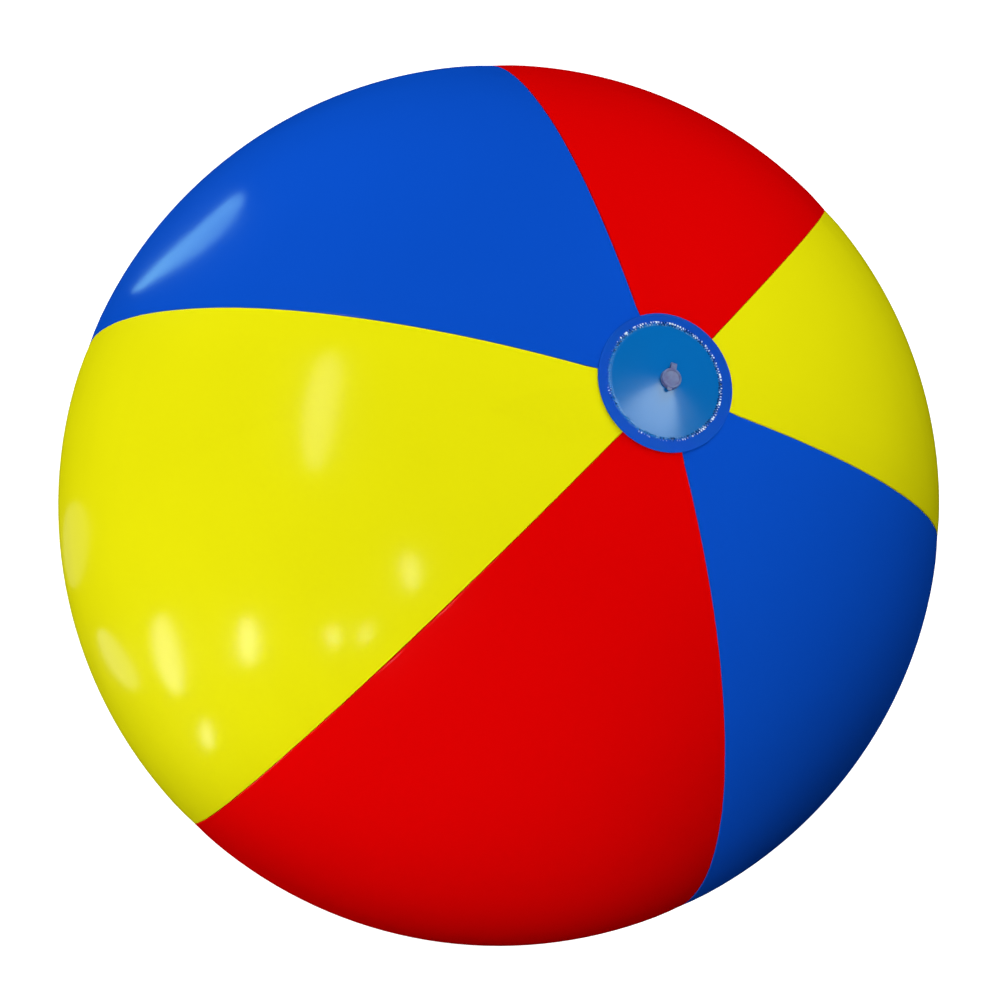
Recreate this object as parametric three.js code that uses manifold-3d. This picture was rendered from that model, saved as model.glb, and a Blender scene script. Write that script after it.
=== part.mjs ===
// Inflatable beach ball: six welded film panels, two end discs and a push-in blow-up valve.
// Millimetres, +Z up along the line through both end discs. The origin is the centre of the
// bottom disc's outer face, which is the flat that the ball stands on.

import * as THREE from 'three';
import { mergeVertices } from 'three/addons/utils/BufferGeometryUtils.js';
import Module from 'manifold-3d';

const wasm = await Module();
wasm.setup();

// Ball
const BALL_RADIUS = 500;
const FILM = 0.3;                   // thickness of the vinyl film
const GAP = 0.3;                    // space kept between pieces that touch
const COLOURS_IN_ORDER = ['yellow_1', 'red_1', 'blue_1', 'yellow_2', 'red_2', 'blue_2'];
const SEGMENTS_PER_PANEL = 8;
const MERIDIAN_STEPS = 20;

// End discs, and the flat landing that each one is welded to
const DISC_RADIUS = 48;
const DISC_RIM_WIDTH = 8;           // the flat edge that holds the weld
const DISC_RISE = 5;                // how far the air pushes the top disc out, at the valve
const LANDING_MARGIN = 1;           // how far the landing reaches past the disc
const LANDING_WIDTH = 10.5;

// Weld fins, turned inwards along every seam
const FIN_DEPTH = 6;
const FIN_SETBACK = 12;             // from the disc's edge to where the fins begin

// Valve stem
const BORE_RADIUS = 3.9;
const STEM_WALL = 1.7;
const STEM_LENGTH = 16;             // below the rim
const RIM_OVERHANG = 1.3;
const RIM_THICKNESS = 1.2;
const FOOT_OVERHANG = 1.4;
const FOOT_THICKNESS = 1.2;
const STEM_CLEARANCE = 0.4;         // between the stem and the hole that it slides in

// Valve base and the thin skirt that joins it to the foot of the stem
const FLANGE_RADIUS = 17;
const FLANGE_THICKNESS = 0.8;
const COLLAR_WALL = 1;
const COLLAR_DEPTH = 3;
const SKIRT_THICKNESS = 0.4;
const SKIRT_FLARE = 0.9;            // how much wider the skirt is at the collar than at the foot

// Plug, its strap and the strap's fold
const CAP_THICKNESS = 1.6;
const CAP_INSET = 0.1;              // of the cap's edge from the rim's edge
const STOPPER_LENGTH = 4.5;
const STOPPER_CLEARANCE = 0.3;
const STOPPER_TAPER = 1;
const LIP_WIDTH = 3.4;
const LIP_REACH = 2;
const STRAP_WIDTH = 4;
const STRAP_THICKNESS = 0.8;
const STRAP_REACH = 3.3;            // from the rim's edge to the fold
const FOLD_CLEARANCE = 0.2;         // between each of the folded strap's legs and the fold's middle

// Check flap on the inner end of the bore
const FLAP_OVERLAP = 1.3;
const FLAP_THICKNESS = 0.4;
const FLAP_TAB_WIDTH = 4;
const FLAP_TAB_REACH = 0.4;         // from the flap's edge to its fold
const FLAP_HEEL = 0.3;              // past the fold

const BALL_SIDES = COLOURS_IN_ORDER.length * SEGMENTS_PER_PANEL;
const SMALL_SIDES = 32;

const COLOURS = {
  red: 0xde0201,
  yellow: 0xe9e717,
  blue: 0x0a50c4,
  disc: 0x0368b4,
  valve: 0x8a98c0,
};

// ---------------------------------------------------------------- places along the axis

const landingRadius = DISC_RADIUS + LANDING_MARGIN;
const landingHeight = Math.sqrt(BALL_RADIUS ** 2 - landingRadius ** 2);   // from the centre
const centreZ = FILM + GAP + landingHeight;
const topLandingZ = centreZ + landingHeight;
const topRimZ = topLandingZ + GAP + FILM;           // outer face of the top disc's flat edge

const stemRadius = BORE_RADIUS + STEM_WALL;
const holeRadius = stemRadius + STEM_CLEARANCE;
const rimRadius = stemRadius + RIM_OVERHANG;
const footRadius = stemRadius + FOOT_OVERHANG;
const coneRadius = DISC_RADIUS - DISC_RIM_WIDTH;
const rimBottomZ = topRimZ + DISC_RISE + GAP;
const rimTopZ = rimBottomZ + RIM_THICKNESS;
const stemBottomZ = rimBottomZ - STEM_LENGTH;

const capRadius = rimRadius - CAP_INSET;
const capBottomZ = rimTopZ + GAP;
const foldRadius = STRAP_THICKNESS + FOLD_CLEARANCE;
const foldY = rimRadius + STRAP_REACH;
const foldZ = (rimBottomZ + rimTopZ) / 2 - STRAP_THICKNESS / 2 + foldRadius;

const flangeDrop = FILM + GAP + FLANGE_THICKNESS;   // from the disc's outer face
const skirtRadius = footRadius + GAP;        // inside its narrow end
const collarRadius = skirtRadius + SKIRT_FLARE + SKIRT_THICKNESS + GAP;

// Height of the top disc's outer face, which slopes evenly from the valve to the flat edge.
function discZ(radius) {
  return topRimZ + DISC_RISE * (coneRadius - radius) / (coneRadius - holeRadius);
}

// ---------------------------------------------------------------- geometry helpers

// Turns a list of [radius, z] corners, anticlockwise, into a solid of revolution about +Z.
function lathe(corners, sides) {
  const points = corners.map(([radius, z]) => new THREE.Vector2(radius, z));
  if (corners[0][0] > 0) {
    points.push(points[0].clone());
  }
  return new THREE.LatheGeometry(points, sides).rotateX(Math.PI / 2);
}

function box(low, high) {
  const size = high.map((value, axis) => value - low[axis]);
  const middle = high.map((value, axis) => (value + low[axis]) / 2);
  return new THREE.BoxGeometry(...size).translate(...middle);
}

function solid(geometry) {
  const bare = geometry.clone();
  bare.deleteAttribute('normal');
  bare.deleteAttribute('uv');
  const merged = mergeVertices(bare, 1e-5);
  return new wasm.Manifold(new wasm.Mesh({
    numProp: 3,
    vertProperties: new Float32Array(merged.attributes.position.array),
    triVerts: new Uint32Array(merged.index.array),
  }));
}

function toGeometry(manifold) {
  const mesh = manifold.getMesh();
  const geometry = new THREE.BufferGeometry();
  geometry.setAttribute('position', new THREE.BufferAttribute(mesh.vertProperties, 3));
  geometry.setIndex(new THREE.BufferAttribute(mesh.triVerts, 1));
  geometry.computeVertexNormals();
  return geometry;
}

const object = new THREE.Group();

function addPiece(name, geometry, colour, roughness = 0.35) {
  const material = new THREE.MeshStandardMaterial({ color: colour, roughness, metalness: 0 });
  const mesh = new THREE.Mesh(geometry, material);
  mesh.name = name;
  object.add(mesh);
}

// ---------------------------------------------------------------- panels

// Angles from the pole at which a meridian is stepped: the landing's edge, the start of the
// fins, then even steps down to the same two places at the other pole.
function meridianAngles() {
  const landing = Math.asin(landingRadius / BALL_RADIUS);
  const fins = Math.asin((DISC_RADIUS + FIN_SETBACK) / BALL_RADIUS);
  const angles = [landing];
  for (let step = 0; step <= MERIDIAN_STEPS; step += 1) {
    angles.push(fins + (Math.PI - 2 * fins) * step / MERIDIAN_STEPS);
  }
  angles.push(Math.PI - landing);
  return angles;
}

// A meridian of the given radius, from the bottom of the ball to the top.
function meridian(radius, angles) {
  return angles.map((angle) => [radius * Math.sin(angle), centreZ - radius * Math.cos(angle)]);
}

// The whole skin: a meridian outside, the same one a film's thickness inside, and the two
// flat landings that turn in under the end discs.
function skin() {
  const angles = meridianAngles();
  const lip = landingRadius - LANDING_WIDTH;
  const inside = meridian(BALL_RADIUS - FILM, angles);
  inside[0][1] = centreZ - landingHeight + FILM;
  inside[inside.length - 1][1] = centreZ + landingHeight - FILM;
  const corners = [
    [lip, centreZ - landingHeight],
    ...meridian(BALL_RADIUS, angles),
    [lip, centreZ + landingHeight],
    [lip, centreZ + landingHeight - FILM],
    ...inside.reverse(),
    [lip, centreZ - landingHeight + FILM],
  ];
  return solid(lathe(corners, BALL_SIDES));
}

// A band inside the skin, from which the fins are cut.
function finBand() {
  const angles = meridianAngles().slice(1, -1);
  const corners = [
    ...meridian(BALL_RADIUS - FILM / 2, angles),
    ...meridian(BALL_RADIUS - FIN_DEPTH, angles).reverse(),
  ];
  return solid(lathe(corners, BALL_SIDES));
}

// The space of one panel between its two seams, half a gap clear of each.
function panelWedge(width) {
  const reach = 1.5 * BALL_RADIUS;
  const apex = GAP / 2 / Math.sin(width / 2);
  const tip = [apex * Math.cos(width / 2), apex * Math.sin(width / 2)];
  const outline = new THREE.Shape([
    new THREE.Vector2(tip[0], tip[1]),
    new THREE.Vector2(tip[0] + reach, tip[1]),
    new THREE.Vector2(tip[0] + reach * Math.cos(width), tip[1] + reach * Math.sin(width)),
  ]);
  const depth = 2 * centreZ;
  return solid(new THREE.ExtrudeGeometry(outline, { depth, bevelEnabled: false }));
}

// The thin slice along one seam that a fin fills; side is +1 anticlockwise of it, -1 clockwise.
function finSlice(angle, side) {
  const near = side * GAP / 2;
  const far = side * (GAP / 2 + FILM);
  const slab = box(
    [0, Math.min(near, far), 0],
    [1.5 * BALL_RADIUS, Math.max(near, far), 2 * centreZ],
  );
  return solid(slab.rotateZ(angle));
}

function addPanels() {
  const width = 2 * Math.PI / COLOURS_IN_ORDER.length;
  const fins = finBand().intersect(finSlice(0, 1).add(finSlice(width, -1)));
  const first = skin().intersect(panelWedge(width)).add(fins);
  COLOURS_IN_ORDER.forEach((colour, place) => {
    const geometry = toGeometry(first).rotateZ(place * width);
    addPiece(`panel_${colour}`, geometry, COLOURS[colour.split('_')[0]]);
  });
}

// ---------------------------------------------------------------- end discs

function addDiscs() {
  const bottom = [[0, 0], [DISC_RADIUS, 0], [DISC_RADIUS, FILM], [0, FILM]];
  addPiece('bottom_disc', lathe(bottom, BALL_SIDES), COLOURS.disc);
  const outside = [[DISC_RADIUS, topRimZ], [coneRadius, topRimZ], [holeRadius, discZ(holeRadius)]];
  const inside = outside.map(([radius, z]) => [radius, z - FILM]);
  const top = [...inside.reverse(), ...outside];
  addPiece('top_disc', lathe(top, BALL_SIDES), COLOURS.disc);
}

// ---------------------------------------------------------------- valve

// The flange welded under the top disc and sloped with it, and a short collar that holds the
// skirt's wide end.
function addValveBase() {
  const collarOuter = collarRadius + COLLAR_WALL;
  const underside = (radius) => discZ(radius) - flangeDrop;
  const collarEndZ = underside(collarRadius) - COLLAR_DEPTH;
  const corners = [
    [holeRadius, underside(holeRadius)],
    [collarRadius, underside(collarRadius)],
    [collarRadius, collarEndZ],
    [collarOuter, collarEndZ],
    [collarOuter, underside(collarOuter)],
    [FLANGE_RADIUS, underside(FLANGE_RADIUS)],
    [FLANGE_RADIUS, underside(FLANGE_RADIUS) + FLANGE_THICKNESS],
    [holeRadius, underside(holeRadius) + FLANGE_THICKNESS],
  ];
  addPiece('valve_base', lathe(corners, SMALL_SIDES), COLOURS.valve);
}

// The thin skirt hangs from the collar to the foot, and rolls up as the stem is pulled out.
function addValveSkirt() {
  const top = discZ(collarRadius) - flangeDrop - GAP;
  const bottom = stemBottomZ + FOOT_THICKNESS / 4;
  const wideRadius = skirtRadius + SKIRT_FLARE;
  const corners = [
    [skirtRadius, bottom],
    [skirtRadius + SKIRT_THICKNESS, bottom],
    [wideRadius + SKIRT_THICKNESS, top],
    [wideRadius, top],
  ];
  addPiece('valve_skirt', lathe(corners, SMALL_SIDES), COLOURS.valve);
}

// The stem: a tube with a rim that seats on the disc, a foot that stops it from pulling out,
// and a lug on the rim that carries the plug's strap.
function addValveStem() {
  const corners = [
    [BORE_RADIUS, stemBottomZ],
    [footRadius, stemBottomZ],
    [footRadius, stemBottomZ + FOOT_THICKNESS],
    [stemRadius, stemBottomZ + FOOT_THICKNESS],
    [stemRadius, rimBottomZ],
    [rimRadius, rimBottomZ],
    [rimRadius, rimTopZ],
    [BORE_RADIUS, rimTopZ],
  ];
  const lugMiddleZ = (rimBottomZ + rimTopZ) / 2;
  const lug = box(
    [-STRAP_WIDTH / 2, stemRadius, lugMiddleZ - STRAP_THICKNESS / 2],
    [STRAP_WIDTH / 2, foldY - foldRadius - GAP, lugMiddleZ + STRAP_THICKNESS / 2],
  );
  const stem = solid(lathe(corners, SMALL_SIDES)).add(solid(lug));
  addPiece('valve_stem', toGeometry(stem), COLOURS.valve);
}

// The plug: a cap with a finger lip, and a tapered stopper that fills the mouth of the bore.
function addValvePlug() {
  const capTopZ = capBottomZ + CAP_THICKNESS;
  const stopperRadius = BORE_RADIUS - STOPPER_CLEARANCE;
  const edge = CAP_THICKNESS / 4;
  const corners = [
    [0, capBottomZ - STOPPER_LENGTH],
    [stopperRadius - STOPPER_TAPER, capBottomZ - STOPPER_LENGTH],
    [stopperRadius, capBottomZ],
    [capRadius, capBottomZ],
    [capRadius, capTopZ - edge],
    [capRadius - edge, capTopZ],
    [0, capTopZ],
  ];
  const lip = box(
    [-LIP_WIDTH / 2, -capRadius - LIP_REACH, capBottomZ + edge],
    [LIP_WIDTH / 2, -capRadius / 2, capTopZ - edge],
  );
  const plug = solid(lathe(corners, SMALL_SIDES)).add(solid(lip));
  addPiece('valve_plug', toGeometry(plug), COLOURS.valve);
}

// The strap from the cap to its fold, which turns with the plug.
function addPlugStrap() {
  const fold = new THREE.CylinderGeometry(foldRadius, foldRadius, STRAP_WIDTH, 24)
    .rotateZ(Math.PI / 2)
    .translate(0, foldY, foldZ);
  const leg = box(
    [-STRAP_WIDTH / 2, capRadius + GAP, foldZ + foldRadius - STRAP_THICKNESS],
    [STRAP_WIDTH / 2, foldY, foldZ + foldRadius],
  );
  addPiece('plug_strap', toGeometry(solid(fold).add(solid(leg))), COLOURS.valve);
}

// The check flap: a thin disc that closes the inner end of the bore, folded at its tab.
function addCheckFlap() {
  const radius = BORE_RADIUS + FLAP_OVERLAP;
  const topZ = stemBottomZ - GAP;
  const bottomZ = topZ - FLAP_THICKNESS;
  const corners = [[0, bottomZ], [radius, bottomZ], [radius, topZ], [0, topZ]];
  const tab = box(
    [-FLAP_TAB_WIDTH / 2, -radius - FLAP_TAB_REACH - FLAP_HEEL, bottomZ],
    [FLAP_TAB_WIDTH / 2, -radius / 2, topZ],
  );
  const flap = solid(lathe(corners, SMALL_SIDES)).add(solid(tab));
  addPiece('check_flap', toGeometry(flap), COLOURS.valve);
}

addPanels();
addDiscs();
addValveBase();
addValveSkirt();
addValveStem();
addValvePlug();
addPlugStrap();
addCheckFlap();

export default object;
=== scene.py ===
# %% [markdown]
# # An inflatable beach ball
# The real ball is flat sheet: six pointed panels of soft vinyl, welded edge to edge, with a
# round disc over each pole and a valve in one of them. Air gives it its shape. The frame that
# is loaded here holds every size and every joint, so the looks are built around it and never
# move it.

from math import asin, atan2, cos, exp, hypot, pi, radians, sin, sqrt

import bmesh
import bpy
from mathutils import Matrix, Vector, noise


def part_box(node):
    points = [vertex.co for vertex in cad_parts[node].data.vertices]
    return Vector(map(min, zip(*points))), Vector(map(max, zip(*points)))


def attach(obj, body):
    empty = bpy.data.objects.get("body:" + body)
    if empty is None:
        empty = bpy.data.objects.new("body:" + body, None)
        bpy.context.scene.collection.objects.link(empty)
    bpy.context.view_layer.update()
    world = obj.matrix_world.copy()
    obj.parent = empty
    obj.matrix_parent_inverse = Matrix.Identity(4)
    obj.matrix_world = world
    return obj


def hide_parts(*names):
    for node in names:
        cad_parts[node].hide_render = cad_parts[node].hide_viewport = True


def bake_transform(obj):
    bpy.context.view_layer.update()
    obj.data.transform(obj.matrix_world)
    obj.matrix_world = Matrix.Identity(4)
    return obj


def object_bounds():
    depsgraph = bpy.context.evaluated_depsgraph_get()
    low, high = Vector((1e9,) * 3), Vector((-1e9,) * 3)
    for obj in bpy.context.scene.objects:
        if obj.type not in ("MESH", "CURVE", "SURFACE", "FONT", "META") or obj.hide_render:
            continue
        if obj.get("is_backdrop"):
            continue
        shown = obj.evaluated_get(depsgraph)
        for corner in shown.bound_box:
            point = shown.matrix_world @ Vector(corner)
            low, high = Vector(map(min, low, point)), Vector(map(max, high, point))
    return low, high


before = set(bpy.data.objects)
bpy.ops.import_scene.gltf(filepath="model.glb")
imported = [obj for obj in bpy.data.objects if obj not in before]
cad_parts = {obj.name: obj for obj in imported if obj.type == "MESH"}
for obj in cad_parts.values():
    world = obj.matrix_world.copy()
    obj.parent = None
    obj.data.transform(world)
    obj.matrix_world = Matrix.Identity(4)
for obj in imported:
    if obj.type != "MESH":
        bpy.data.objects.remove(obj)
cad_low, cad_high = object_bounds()
print("nodes in the frame:", len(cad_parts))

# %% [markdown]
# ## Measuring the frame
# A maker measures the pattern before cutting. The ball's radius, its centre and the flat
# landing at each pole follow from the boxes of the frame's nodes. Only what a box can't tell,
# such as the width of a weld, is given here as a number.

# %% Measure the ball
MM = 0.001
panel_low, panel_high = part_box("panel_red_1")
disc_low, disc_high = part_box("top_disc")
RADIUS = cad_high.y
CENTRE = Vector((0, 0, (panel_low.z + panel_high.z) / 2))
LANDING_HEIGHT = panel_high.z - CENTRE.z
LANDING_RADIUS = sqrt(RADIUS**2 - LANDING_HEIGHT**2)
DISC_RADIUS = disc_high.x
FILM = 0.3 * MM
HALF_GAP = 0.15 * MM
print(f"radius {RADIUS:.3f} m, centre {CENTRE.z:.4f} m up, disc {DISC_RADIUS:.3f} m")

# %% [markdown]
# ## Small helpers for meshes
# Most pieces here are turned shapes, as a lathe or a round mould makes them. So one helper
# makes a chain of points, and another spins it round the axis and closes the seam where the
# last step meets the first. Normals are set right before a sheet gets its thickness, because
# Solidify pushes the second wall along them. A finished piece keeps its object at the origin,
# with its place in its mesh.

# %% Helpers for meshes
def chain(bm, points):
    """Joins points into one open chain of edges."""
    verts = [bm.verts.new(point) for point in points]
    for one, other in zip(verts, verts[1:]):
        bm.edges.new((one, other))
    return verts


def face_outwards(bm, is_inward):
    """Makes the normals agree, then turns them all round if the first face points inwards."""
    bmesh.ops.recalc_face_normals(bm, faces=bm.faces[:])
    bm.faces.ensure_lookup_table()
    if is_inward(bm.faces[0]):
        bmesh.ops.reverse_faces(bm, faces=bm.faces[:])


def turn(bm, steps):
    """Spins everything once round the ball's axis and closes the seam."""
    geometry = bm.verts[:] + bm.edges[:]
    bmesh.ops.spin(
        bm, geom=geometry, cent=(0, 0, 0), axis=(0, 0, 1), angle=2 * pi, steps=steps, use_merge=True
    )
    bmesh.ops.remove_doubles(bm, verts=bm.verts[:], dist=0.001 * MM)


def make_object(bm, name, smooth_angle=50):
    """Turns a bmesh into an object, smooth except where it bends more than smooth_angle."""
    mesh = bpy.data.meshes.new(name)
    for face in bm.faces:
        face.smooth = True
    bm.to_mesh(mesh)
    bm.free()
    mesh.set_sharp_from_angle(angle=radians(smooth_angle))
    piece = bpy.data.objects.new(name, mesh)
    bpy.context.scene.collection.objects.link(piece)
    return piece


def thicken(piece, thickness):
    """Gives a sheet its thickness, inwards from the outer face."""
    modifier = piece.modifiers.new("thickness", "SOLIDIFY")
    modifier.thickness = thickness
    modifier.offset = -1


def soften_edges(piece, width):
    """Rounds the sharp edges, as the radius left by a mould."""
    modifier = piece.modifiers.new("soft edges", "BEVEL")
    modifier.width = width
    modifier.segments = 3
    modifier.limit_method = "ANGLE"
    modifier.angle_limit = radians(35)
    modifier.harden_normals = False


print("mesh helpers ready")

# %% [markdown]
# ## Small helpers for materials
# Every finish here is a Principled shader with procedural patterns in it, so the same few
# nodes come up again and again: a noise pattern, a range to stretch it over, a mix of two
# colours and a bump. Patterns read the object's own coordinates. They stay on the piece when
# it moves, and they need no image and no unwrapping.

# %% Helpers for materials
def node(tree, kind, **inputs):
    """Adds a node and sets its named inputs; names use _ where the socket has a space."""
    made = tree.nodes.new(kind)
    for name, value in inputs.items():
        made.inputs[name.replace("_", " ")].default_value = value
    return made


def object_coordinates(tree, scale=(1, 1, 1), centre=(0, 0, 0)):
    """The object's own coordinates, measured from a centre and scaled along each axis."""
    coordinates = tree.nodes.new("ShaderNodeTexCoord")
    mapping = tree.nodes.new("ShaderNodeMapping")
    mapping.inputs["Location"].default_value = [-c * s for c, s in zip(centre, scale)]
    mapping.inputs["Scale"].default_value = scale
    tree.links.new(coordinates.outputs["Object"], mapping.inputs["Vector"])
    return mapping.outputs["Vector"]


def cloud(tree, vector, scale, detail=2.0, roughness=0.5):
    """A noise pattern; a larger scale makes smaller patches."""
    texture = node(tree, "ShaderNodeTexNoise", Scale=scale, Detail=detail, Roughness=roughness)
    tree.links.new(vector, texture.inputs["Vector"])
    return texture.outputs["Fac"]


def spread(tree, value, low, high, from_low=0.3, from_high=0.7):
    """Stretches a 0 to 1 pattern to the range low to high."""
    reach = node(tree, "ShaderNodeMapRange")
    reach.inputs["From Min"].default_value = from_low
    reach.inputs["From Max"].default_value = from_high
    reach.inputs["To Min"].default_value = low
    reach.inputs["To Max"].default_value = high
    tree.links.new(value, reach.inputs["Value"])
    return reach.outputs["Result"]


def mix(tree, factor, one, other):
    """Mixes two colours; a colour or factor may be a value or another node's output."""
    mixer = tree.nodes.new("ShaderNodeMix")
    mixer.data_type = "RGBA"
    for socket, value in ((0, factor), (6, one), (7, other)):
        if isinstance(value, bpy.types.NodeSocket):
            tree.links.new(value, mixer.inputs[socket])
        else:
            mixer.inputs[socket].default_value = value
    return mixer.outputs[2]


def new_material(name):
    """A fresh material, its node tree and its Principled shader."""
    material = bpy.data.materials.new(name)
    material.use_nodes = True
    tree = material.node_tree
    shader = tree.nodes["Principled BSDF"]
    return material, tree, shader


def bump(tree, shader, height, distance, under=None):
    """Adds relief that is distance deep; under is the normal of an earlier bump."""
    relief = node(tree, "ShaderNodeBump", Strength=1.0, Distance=distance)
    tree.links.new(height, relief.inputs["Height"])
    if under is not None:
        tree.links.new(under, relief.inputs["Normal"])
    tree.links.new(relief.outputs["Normal"], shader.inputs["Normal"])
    return relief.outputs["Normal"]


print("material helpers ready")

# %% [markdown]
# ## The panels' film
# Blown vinyl film is one colour all through, but it is never perfectly even. It thins a little
# where it stretches, carries faint flow marks from the rollers, and picks up fine rubs. So the
# base colour drifts by a few per cent, the roughness wanders between two near values, and two
# bumps hold the slack of the sheet and its fine grain. A thin rough coat gives each highlight
# the soft glow that plasticiser leaves round it. Film seen edge on would mirror the bright room
# and pale at the outline, so the gloss is turned down there, and a little sheen in the film's
# own colour keeps the outline lively.

# %% Panel film
FILM_COLOURS = {
    "red": (0.73, 0.0004, 0.0006, 1),
    "yellow": (0.80, 0.77, 0.003, 1),
    "blue": (0.003, 0.077, 0.570, 1),
}


DEEPER = 0.96          # the darkest patch, as a share of the film's colour


def panel_film(colour):
    material, tree, shader = new_material(f"{colour} vinyl film")
    base = FILM_COLOURS[colour]
    deep = (*(DEEPER * part for part in base[:3]), 1)
    space = object_coordinates(tree)
    drift = cloud(tree, space, 5.0, detail=3.0)
    tree.links.new(mix(tree, spread(tree, drift, 0, 1), base, deep), shader.inputs["Base Color"])
    rubs = cloud(tree, space, 30.0, detail=5.0, roughness=0.6)
    tree.links.new(spread(tree, rubs, 0.12, 0.17), shader.inputs["Roughness"])
    shader.inputs["IOR"].default_value = 1.36
    slant = tree.nodes.new("ShaderNodeLayerWeight")
    gloss = spread(tree, slant.outputs["Facing"], 0.5, 0.05, 0.72, 0.9)
    tree.links.new(gloss, shader.inputs["Specular IOR Level"])
    shader.inputs["Coat Weight"].default_value = 0.12
    shader.inputs["Coat IOR"].default_value = 1.4
    shader.inputs["Coat Roughness"].default_value = 0.38
    shader.inputs["Sheen Weight"].default_value = 0.15
    shader.inputs["Sheen Roughness"].default_value = 0.25
    shader.inputs["Sheen Tint"].default_value = base
    slack = bump(tree, shader, cloud(tree, space, 9.0, detail=1.0), 0.6 * MM)
    bump(tree, shader, cloud(tree, space, 420.0, detail=2.0), 0.012 * MM, under=slack)
    return material


films = {colour: panel_film(colour) for colour in FILM_COLOURS}
print("film colours:", ", ".join(films))

# %% [markdown]
# ## How the seams stray
# The six panels are cut alike, but hand-fed welding never lands them quite evenly, so each
# seam wanders a few degrees from its sixth, and together they aim at a point beside the valve.
# The panels below are made straight first. Then every point is turned round the axis by a share
# of what its two seams stray, so that neighbours still meet.

# %% How the seams stray
PANEL_WIDTH = radians(60)
SEAM_DRIFT = (3.0, -0.9, -4.0, -0.2, 0.0, 0.9)      # degrees, 45 degrees down from the valve
DRIFT_FULL = radians(45)
SEAMS_MEET = Vector((-1.2 * MM, -6.2 * MM, 0))
MEET_REACH = 38 * MM            # nearer the axis than this the seams keep their turn
FADE_START = radians(75)
FADE_LENGTH = radians(75)


def smooth_step(value):
    """An even ease from 0 to 1."""
    value = min(max(value, 0), 1)
    return value * value * (3 - 2 * value)


def seam_turn(number, place):
    """How far a seam strays round the ball from its sixth, in radians."""
    angle = number * PANEL_WIDTH
    reach = max(hypot(place.x, place.y), MEET_REACH)
    tilt = atan2(reach, place.z - CENTRE.z)
    aside = SEAMS_MEET.dot(Vector((-sin(angle), cos(angle), 0))) / reach
    grown = min(tilt / DRIFT_FULL, 1.5)
    fade = 1 - smooth_step((tilt - FADE_START) / FADE_LENGTH)
    return (aside + radians(SEAM_DRIFT[number % len(SEAM_DRIFT)]) * grown) * fade


def stray(bm, number):
    """Turns each point of a panel by a share of the way its two seams stray."""
    for vert in bm.verts:
        share = atan2(vert.co.y, vert.co.x) / PANEL_WIDTH
        one, other = seam_turn(number, vert.co), seam_turn(number + 1, vert.co)
        vert.co = Matrix.Rotation(one + (other - one) * share, 3, "Z") @ vert.co


print("seams stray by", min(SEAM_DRIFT), "to", max(SEAM_DRIFT), "degrees")

# %% [markdown]
# ## How the skin lies beside a seam
# Air pushes the film out everywhere except at the seams, which are doubled and stiffer. There
# the skin rolls over a tight shoulder into the weld, the ball is drawn in a little for a finger's
# width to each side, and the spare length of the edge shows as faint puckers. These are real
# shapes that catch the light, so they are moved points and not a bump.

# %% Depth of the skin beside a seam
SHOULDER = 0.9 * MM             # radius over which the skin rolls into a seam
SEAM_DIP = 0.5 * MM             # how far the seam draws the skin in around it
SEAM_DIP_REACH = 14 * MM
PUCKER = 0.35 * MM
PUCKER_REACH = 22 * MM
PUCKERS_PER_METRE = 24
SEAM_NORMALS = (Vector((0, 1, 0)), Vector((sin(PANEL_WIDTH), -cos(PANEL_WIDTH), 0)))


def seam_distance(place):
    """How far a place is from the nearer of a panel's two seam planes."""
    return min(normal.dot(place) for normal in SEAM_NORMALS)


def seam_depth(place, seed):
    """How far the skin lies below the round of the ball at a place near a seam."""
    away = seam_distance(place)
    roll = max(SHOULDER - away, 0)
    shoulder = SHOULDER - sqrt(SHOULDER**2 - roll**2)
    along = place.z * PUCKERS_PER_METRE
    ripple = noise.noise(Vector((along, seed, 0.5)))
    ripple += 0.5 * noise.noise(Vector((2.3 * along, 4, seed)))
    fade = min(1, hypot(place.x, place.y) / (0.4 * RADIUS))
    return shoulder + SEAM_DIP * exp(-((away / SEAM_DIP_REACH) ** 2)) + (
        PUCKER * fade * (ripple + 0.4) * exp(-away / PUCKER_REACH)
    )


deepest = seam_depth(Vector((RADIUS, 0, CENTRE.z)), 0)
print("skin drawn in at a seam:", round(deepest / MM, 2), "mm")

# %% [markdown]
# ## The panels
# Each panel is a pointed gore of flat film that air has rounded. A meridian is spun sixty
# degrees round the axis, the two cut edges are trimmed a hair short of the seam planes, and
# extra rows are cut in beside them so that the skin can roll over into the seam. The edges are
# then extruded inwards as the weld fin that the real ball hides inside. Spinning keeps the rows
# even; a sphere cut into six would have poles with crowded triangles.

# %% Make one panel
LANDING_WIDTH = 10.5 * MM       # the flat tip that the end disc is welded over
FIN_DEPTH = 6 * MM
ROWS = 210
COLUMNS = 36
ROW_CUTS = (HALF_GAP, 0.35 * MM, 0.6 * MM, SHOULDER, 3 * MM, 6 * MM)


def seam_edges(bm):
    """The edges along a panel's two seams, where the weld fins grow."""
    return [
        edge for edge in bm.edges
        if edge.is_boundary and all(seam_distance(v.co) < 1.5 * HALF_GAP for v in edge.verts)
        and all(hypot(v.co.x, v.co.y) > LANDING_RADIUS + FIN_DEPTH for v in edge.verts)
    ]


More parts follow.
